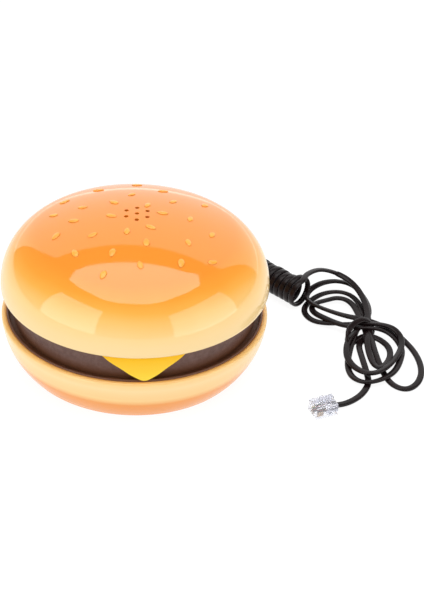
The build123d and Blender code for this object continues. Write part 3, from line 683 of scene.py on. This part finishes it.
# ---------------------------------------------------------------- cheese
def drape(across, forward):
    """Where a point of the flat slice lies: on the deck, round its edge or down the wall."""
    run, angle = math.hypot(across, forward), math.atan2(across, forward)
    z = DECK_TOP + CHEESE_T / 2
    bend_run = BEND_R * math.pi / 2
    if run <= BEND_START:
        radius = run
    elif run <= BEND_START + bend_run:
        turn = (run - BEND_START) / BEND_R
        radius = BEND_START + BEND_R * math.sin(turn)
        z -= BEND_R * (1 - math.cos(turn))
    else:
        down = run - BEND_START - bend_run
        radius = BEND_START + BEND_R + KICK * down ** 2
        z -= BEND_R + down
    return (radius * math.sin(angle), -radius * math.cos(angle), z)


def key_places():
    """Name and centre of every key."""
    places = [(name, (column - 1) * KEY_X, y) for names, y in zip(DIAL_KEYS, KEY_ROWS)
              for column, name in enumerate(names)]
    return places + list(FUNCTION_KEYS)


def make_cheese():
    edge = smooth_line([(wide, forward, 0) for wide, forward in reversed(SLICE_EDGE)], 8)
    points = [drape(wide * (2 * j / CHEESE_COLUMNS - 1), forward) for wide, forward, _ in edge
              for j in range(CHEESE_COLUMNS + 1)]
    row = CHEESE_COLUMNS + 1
    faces = [(i * row + j, i * row + j + 1, (i + 1) * row + j + 1, (i + 1) * row + j)
             for i in range(len(edge) - 1) for j in range(CHEESE_COLUMNS)]
    cheese = new_object("cheese_sheet", points, faces)
    weld = cheese.modifiers.new("weld", "WELD")
    weld.merge_threshold = 0.02 * MM
    thick = cheese.modifiers.new("thickness", "SOLIDIFY")
    thick.thickness = CHEESE_T * MM
    thick.offset = 0.0
    rounding = cheese.modifiers.new("rounding", "BEVEL")
    rounding.width = CHEESE_EDGE_R * MM
    rounding.segments = 3
    rounding.limit_method = "ANGLE"
    rounding.angle_limit = math.radians(50)
    apply_modifiers(cheese)
    hole = (KEY_SIZE[0] + 2 * KEY_GAP, KEY_SIZE[1] + 2 * KEY_GAP, 6)
    cutters = [rounded_block("key_hole", (x, y, DECK_TOP + 1), hole, 2.2) for _, x, y in key_places()]
    profile = [(0, 46), (MIC_HOLE_R, 46), (MIC_HOLE_R, 40), (0, 40)]
    for x in MIC_HOLES_X:
        cutters.append(lathe("mic_hole", profile, 24, (x, MIC_Y, 0)))
    cut(cheese, cutters)
    shade(cheese, 50)
    finish_piece(cheese, "cheese_yellow", "base", ["cheese_slice"])


def make_patty_bead():
    """The brown bead that closes the gap between the patty and the bottom bun's rim."""
    ring = arc(BEAD_AT, BEAD_R, 0, 360, 16)[:-1]
    count, segments = len(ring), 256
    angles = [2 * math.pi * i / segments for i in range(segments)]
    points = [(r * math.cos(a), r * math.sin(a), z) for a in angles for r, z in ring]
    faces = []
    for i in range(segments):
        here, ahead = i * count, (i + 1) % segments * count
        faces += [(here + j, ahead + j, ahead + (j + 1) % count, here + (j + 1) % count)
                  for j in range(count)]
    bead = new_object("patty_bead", points, faces)
    shade(bead, 60)
    finish_piece(bead, "patty_brown", "base")


# ---------------------------------------------------------------- key legends
def make_legends():
    for name, x, y in key_places():
        data = bpy.data.curves.new("legend_" + name, "FONT")
        data.body = LEGENDS.get(name, name)
        data.size = LEGEND_SIZE * MM
        data.align_x = "CENTER"
        data.align_y = "CENTER"
        data.extrude = LEGEND_T * MM
        text = link(bpy.data.objects.new("legend_source", data))
        bpy.context.view_layer.update()
        graph = bpy.context.evaluated_depsgraph_get()
        mesh = bpy.data.meshes.new_from_object(text.evaluated_get(graph))
        bpy.data.objects.remove(text)
        mesh.transform(Matrix.Translation(metres((x, y, KEY_TOP + LEGEND_T))))
        legend = link(bpy.data.objects.new("legend_" + name, mesh))
        finish_piece(legend, "black_plastic", "key_" + name)


# ---------------------------------------------------------------- cord
def coil_axes():
    along = Vector((*COIL_END, 0)) - Vector((*COIL_START, 0))
    across = Vector((0, 0, 1)).cross(along).normalized()
    return along.normalized(), across


def coil_points():
    """Turns of the coil, from the bottom of its first turn to the top of its last."""
    along, across = coil_axes()
    pitch = (math.dist(COIL_START, COIL_END) - COIL_MARGIN - COIL_SLACK) / COIL_TURNS
    outside = 1 / math.cos(math.pi / POINTS_PER_TURN)
    points = []
    for i in range(round(COIL_TURNS * POINTS_PER_TURN) + 1):
        turns = i / POINTS_PER_TURN
        angle = math.radians(-90.0) - 2 * math.pi * turns
        opening = min(max(turns - COIL_TURNS + 1.7, 0.0), 1.0)
        opening = opening * opening * (3 - 2 * opening)
        uneven = 0.1 * math.sin(1.9 * turns) + 0.08 * math.sin(4.3 * turns)
        radius = COIL_R + uneven + (COIL_END_R - COIL_R) * opening
        step = COIL_MARGIN + pitch * turns + COIL_SLACK * opening
        centre = Vector((*COIL_START, radius + CORD_T / 2 + FLOOR_GAP)) + along * step
        rim = across * math.cos(angle) + Vector((0, 0, math.sin(angle)))
        points.append(tuple(centre + rim * radius * outside))
    return points


def smooth_line(points, steps):
    """Points along the NURBS curve that a route's points control, in millimetres."""
    curve = bpy.data.curves.new("route", "CURVE")
    curve.dimensions = "3D"
    spline = curve.splines.new("NURBS")
    spline.points.add(len(points) - 1)
    for target, point in zip(spline.points, points):
        target.co = (*point, 1.0)
    spline.order_u = 3
    spline.use_endpoint_u = True
    spline.resolution_u = steps
    holder = bpy.data.objects.new("route", curve)
    mesh = bpy.data.meshes.new_from_object(holder)
    line = [mesh.vertices[0].co.copy()]
    for vertex in mesh.vertices:
        if (vertex.co - line[-1]).length > 0.02:
            line.append(vertex.co.copy())
    bpy.data.objects.remove(holder)
    return line


def cord_section(count=16):
    """Section of the flat cord: rounded edges and a shallow groove between its two cores."""
    section = []
    for i in range(count):
        angle = 2 * math.pi * (i + 0.5) / count
        wide, thick = math.cos(angle), math.sin(angle)
        x = CORD_W / 2 * math.copysign(abs(wide) ** 0.62, wide)
        y = CORD_T / 2 * math.copysign(abs(thick) ** 0.72, thick)
        section.append((x, y * (1 - 0.09 * math.exp(-(x / 0.5) ** 2))))
    return section


def flat_directions(line, coil_first, coil_last):
    """The direction across the cord at every point: level where it lies, along the axis in the coil."""
    along, _ = coil_axes()
    wide = None
    directions = []
    for i, point in enumerate(line):
        ahead = line[min(i + 1, len(line) - 1)] - line[max(i - 1, 0)]
        ahead.normalize()
        if coil_first <= i <= coil_last:
            wanted = along - ahead * along.dot(ahead)
        else:
            wanted = ahead.cross(Vector((0, 0, 1)))
        if wide is None:
            wide = wanted.normalized()
        wide = (wide - ahead * wide.dot(ahead)).normalized()
        if wanted.dot(wide) < 0:
            wanted = -wanted
        wide = (wide + 0.22 * wanted).normalized()
        wide = (wide - ahead * wide.dot(ahead)).normalized()
        directions.append((ahead, wide))
    return directions


def make_cord_mesh(line, directions, coil_first, coil_last):
    """The flat cord along its line. It rolls a little off the table, but not in the coil or the plug."""
    section = cord_section()
    count = len(section)
    points = []
    travelled = 0.0
    for i, (centre, (ahead, wide)) in enumerate(zip(line, directions)):
        travelled += (centre - line[i - 1]).length if i else 0.0
        loose = 0.0 if coil_first - 20 <= i <= coil_last + 30 else 1.0
        raised = min(max((centre.z - 1.5) / 2.0, 0.0), 1.0)
        ending = min(max((len(line) - i - 30) / 40.0, 0.0), 1.0)
        roll = loose * raised * ending * math.radians(ROLL_DEG) * math.sin(travelled / 17.0 + 0.8)
        side = Quaternion(ahead, roll) @ wide
        thick = side.cross(ahead)
        points += [tuple(centre + side * x + thick * y) for x, y in section]
    faces = []
    for i in range(len(line) - 1):
        for j in range(count):
            after = (j + 1) % count
            faces.append((i * count + j, i * count + after, (i + 1) * count + after, (i + 1) * count + j))
    last = (len(line) - 1) * count
    faces += [tuple(reversed(range(count))), tuple(range(last, last + count))]
    return new_object("line_cord", points, faces)


def make_cord(with_pieces):
    coil = coil_points()
    route = LEAD + coil + LINK + LOOPS + WRAP + TAIL
    line = smooth_line(route, CORD_STEPS)
    per_point = len(line) / (len(route) - 2)
    coil_first = round((len(LEAD) - 1) * per_point)
    coil_last = round((len(LEAD) + len(coil) - 2) * per_point)
    directions = flat_directions(line, coil_first, coil_last)
    cord = make_cord_mesh(line, directions, coil_first, coil_last)
    shade(cord, 70)
    finish_piece(cord, "cord_skin", "base", ["cord_lead", "cord_coil", "cord_link", "cord_hank", "cord_tail"])


# ---------------------------------------------------------------- plug
def plug_place():
    return Matrix.Translation(metres(PLUG_REAR)) @ Matrix.Rotation(math.radians(PLUG_DEG), 4, "Z")


def bevel(piece, width, segments=3):
    modifier = piece.modifiers.new("bevel", "BEVEL")
    modifier.width = width * MM
    modifier.segments = segments
    modifier.limit_method = "ANGLE"
    apply_modifiers(piece)


def make_plug_body():
    body = rounded_block("plug_shell", (-PLUG_L / 2, 0, PLUG_H / 2), (PLUG_L, PLUG_W, PLUG_H), 0.3)
    bevel(body, 0.3)
    cutters = [rounded_block("cut", (-2.0, 0, 2.7), (8.4, 4.3, 2.4), 0.3),
               rounded_block("cut", (-5.2, 0, PLUG_H), (5.0, 5.4, 2.2), 0.3),
               rounded_block("cut", (-3.4, 0, 0.0), (2.6, 5.0, 1.6), 0.3)]
    for i in range(4):
        offset = (i - 1.5) * CORE_PITCH
        cutters.append(rounded_block("cut", (-PLUG_L + 2.5, offset, 1.5), (5.2, 0.5, 3.2), 0.1))
    cut(body, cutters)
    body.data.transform(plug_place())
    shade(body, 30)
    return finish_piece(body, "clear_plastic", "base", ["plug_body"])


def make_latch():
    """Springy tongue: hinged at the front, rising to the back, broad where it hooks the socket."""
    stations = [(-12.2, 6.9, 1.6, 0.5), (-11.7, 7.3, 1.6, 0.7), (-10.4, 7.7, 1.6, 0.7), (-7.6, 8.3, 1.6, 0.6),
                (-7.4, 8.35, 3.0, 0.6), (-5.9, 8.65, 3.0, 0.6), (-5.7, 8.7, 1.6, 0.5), (-1.3, 9.5, 1.6, 0.4)]
    points, faces = [], []
    for x, z, wide, thick in stations:
        points += [(x, -wide, z - thick), (x, wide, z - thick), (x, wide, z), (x, -wide, z)]
    for i in range(len(stations) - 1):
        for j in range(4):
            after = (j + 1) % 4
            faces.append((4 * i + j, 4 * i + after, 4 * i + 4 + after, 4 * i + 4 + j))
    end = 4 * len(stations) - 4
    faces += [(3, 2, 1, 0), (end, end + 1, end + 2, end + 3)]
    latch = new_object("latch_tongue", points, faces)
    bevel(latch, 0.14, 2)
    latch.data.transform(plug_place())
    shade(latch, 30)
    return finish_piece(latch, "clear_plastic", "plug_latch", ["plug_latch"])


def make_plug_wires():
    """The four cores fanned out from the cord's end to the contacts."""
    wires = []
    for i, colour in enumerate(CORE_COLOURS):
        place = i - 1.5
        route = [(-4.6, place * 0.72, 2.6), (-6.0, place * 0.85, 2.7), (-7.4, place * CORE_PITCH, 3.0),
                 (-9.0, place * CORE_PITCH, 3.4), (-11.4, place * CORE_PITCH, 3.5)]
        line = smooth_line(route, 5)
        points, faces = [], []
        for k, centre in enumerate(line):
            ahead = (line[min(k + 1, len(line) - 1)] - line[max(k - 1, 0)]).normalized()
            side = ahead.cross(Vector((0, 0, 1))).normalized()
            lift = side.cross(ahead)
            for j in range(8):
                angle = 2 * math.pi * j / 8
                rim = side * math.cos(angle) + lift * math.sin(angle)
                points.append(tuple(centre + CORE_R * rim))
            if k:
                faces += [(8 * k - 8 + j, 8 * k - 8 + (j + 1) % 8, 8 * k + (j + 1) % 8, 8 * k + j)
                          for j in range(8)]
        faces += [tuple(reversed(range(8))), tuple(range(8 * len(line) - 8, 8 * len(line)))]
        name = "plug_core_" + str(i + 1)
        wire = new_object(name, points, faces)
        wire.data.transform(plug_place())
        shade(wire, 60)
        MATERIALS[name] = moulded(name, colour, 0.4)
        wire.data.materials.append(MATERIALS[name])
        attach(wire, "base")
        wires.append(wire)
    return wires


# ---------------------------------------------------------------- floor
def make_floor():
    size = 6000.0
    corners = [(-size, -size, 0), (size, -size, 0), (size, size, 0), (-size, size, 0)]
    floor = new_object("floor", corners, [(0, 1, 2, 3)])
    material, tree, shader = shader_for("floor_paper", Roughness=0.9)
    tone = ramp(tree, noise(tree, 3.0, 2.0), [(0.3, rgb(96, 96, 97)), (0.7, rgb(102, 102, 103))])
    tree.links.new(tone, shader.inputs["Base Color"])
    shader.inputs["Emission Color"].default_value = (1.0, 1.0, 1.0, 1.0)
    shader.inputs["Emission Strength"].default_value = FLOOR_GLOW
    floor.data.materials.append(material)


make_camera()
make_lights()
make_floor()
dress_nodes()
plug_pieces = [make_plug_body(), make_latch(), NODES["plug_contacts"], NODES["cord_grommet"]]
make_cord(plug_pieces + make_plug_wires())
make_top_bun()
make_seeds()
make_cheese()
make_patty_bead()
make_legends()

bpy.context.view_layer.update()
